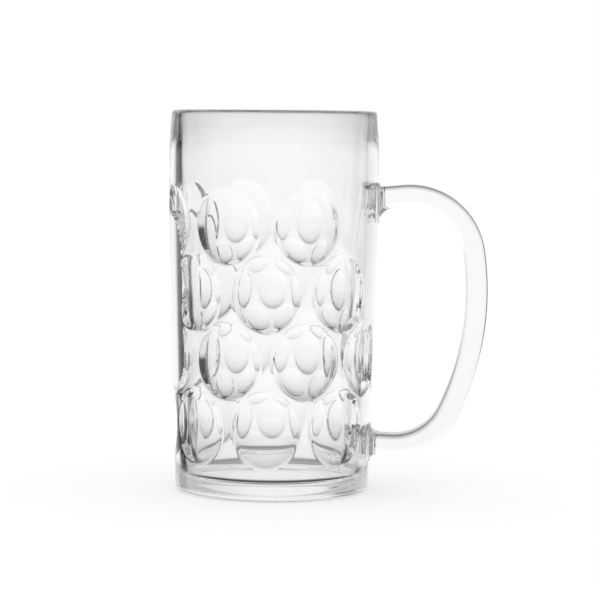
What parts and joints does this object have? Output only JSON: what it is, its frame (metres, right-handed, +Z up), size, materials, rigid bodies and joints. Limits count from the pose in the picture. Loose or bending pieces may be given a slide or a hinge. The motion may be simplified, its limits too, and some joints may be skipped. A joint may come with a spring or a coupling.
{
  "type": "beer stein",
  "caption": "Clear plastic beer stein: a tall straight barrel with staggered lens dimples and one plain panel outside, a foot disc and an open D handle.",
  "frame": {"origin": "centre of the foot disc's flat underside, on the barrel's axis", "axes": "+Z up along the barrel's axis, +X towards the handle, +Y across it"},
  "size_m": [0.1601, 0.105, 0.1905],
  "materials": {
    "clear_plastic": "clear, polished moulded plastic",
    "clear_adhesive": "clear cured adhesive film"
  },
  "bodies": {
    "root": {"barrel": "clear_plastic", "foot_disc": "clear_plastic", "foot_adhesive": "clear_adhesive", "handle": "clear_plastic", "upper_handle_adhesive": "clear_adhesive", "lower_handle_adhesive": "clear_adhesive"}
  },
  "joints": []
}
